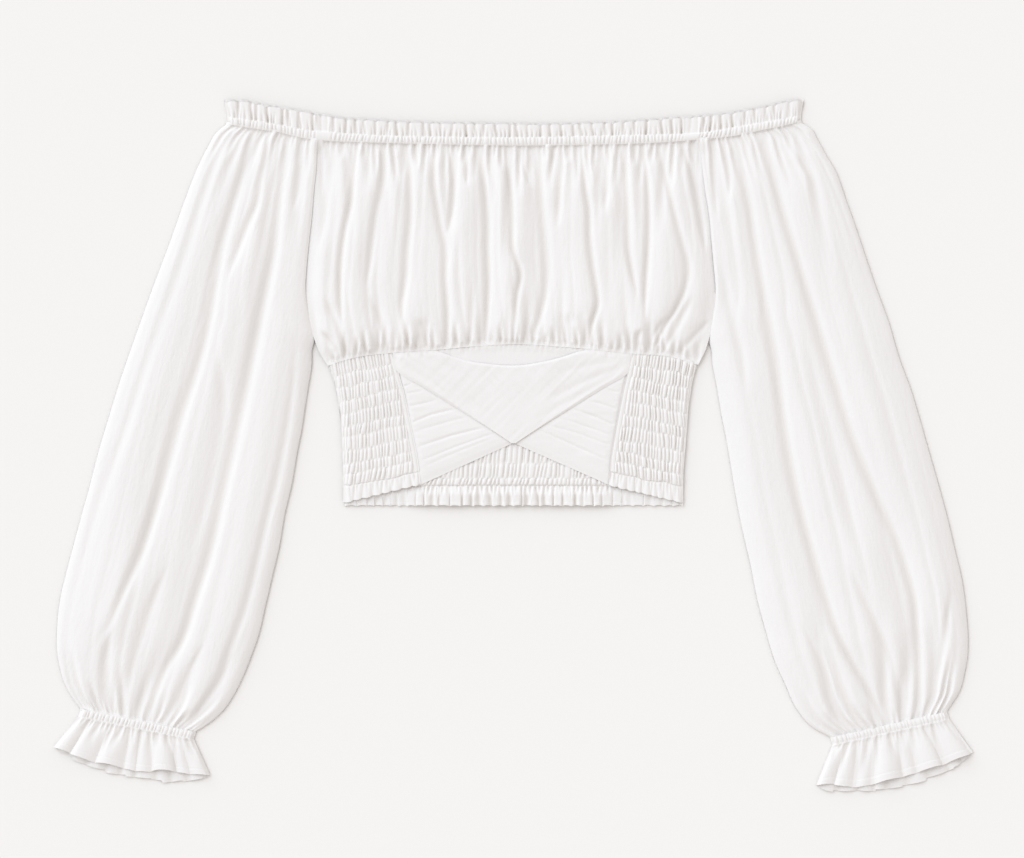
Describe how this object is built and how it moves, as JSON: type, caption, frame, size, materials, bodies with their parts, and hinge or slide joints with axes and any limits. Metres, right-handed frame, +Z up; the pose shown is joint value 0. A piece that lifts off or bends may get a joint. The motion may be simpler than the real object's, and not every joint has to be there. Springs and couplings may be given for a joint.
{
  "type": "off-shoulder crop top",
  "caption": "White off-shoulder crop top laid flat: gathered bodice, frilled elastic neck, full sleeves with ruffled cuffs, shirred lower band open in an inverted V with a V-shaped overlay",
  "frame": {"origin": "on the surface the top lies on, below the middle of its bounding box", "axes": "+Z up from the surface, +Y towards the neck, +X to the right of the picture, across the sleeves"},
  "size_m": [0.8088, 0.6092, 0.0103],
  "materials": {
    "front_bodice": "soft woven white voile",
    "back_bodice": "soft woven white voile",
    "sleeve_left": "soft woven white voile",
    "sleeve_right": "soft woven white voile",
    "neck_casing": "white voile over elastic, gathered",
    "cuff_left": "white voile, gathered ruffle",
    "cuff_right": "white voile, gathered ruffle",
    "side_panel_left": "white voile, elastic shirring",
    "side_panel_right": "white voile, elastic shirring",
    "wrap_panel_left": "white voile, pleated",
    "wrap_panel_right": "white voile, pleated",
    "centre_overlay": "smooth white voile",
    "centre_underlay": "smooth white voile",
    "back_shirred_panel": "white voile, elastic shirring"
  },
  "bodies": {
    "root": {"front_bodice": "front_bodice", "back_bodice": "back_bodice", "sleeve_left": "sleeve_left", "sleeve_right": "sleeve_right", "neck_casing": "neck_casing", "cuff_left": "cuff_left", "cuff_right": "cuff_right", "side_panel_left": "side_panel_left", "side_panel_right": "side_panel_right", "wrap_panel_left": "wrap_panel_left", "wrap_panel_right": "wrap_panel_right", "centre_overlay": "centre_overlay", "centre_underlay": "centre_underlay", "back_shirred_panel": "back_shirred_panel"}
  },
  "joints": []
}
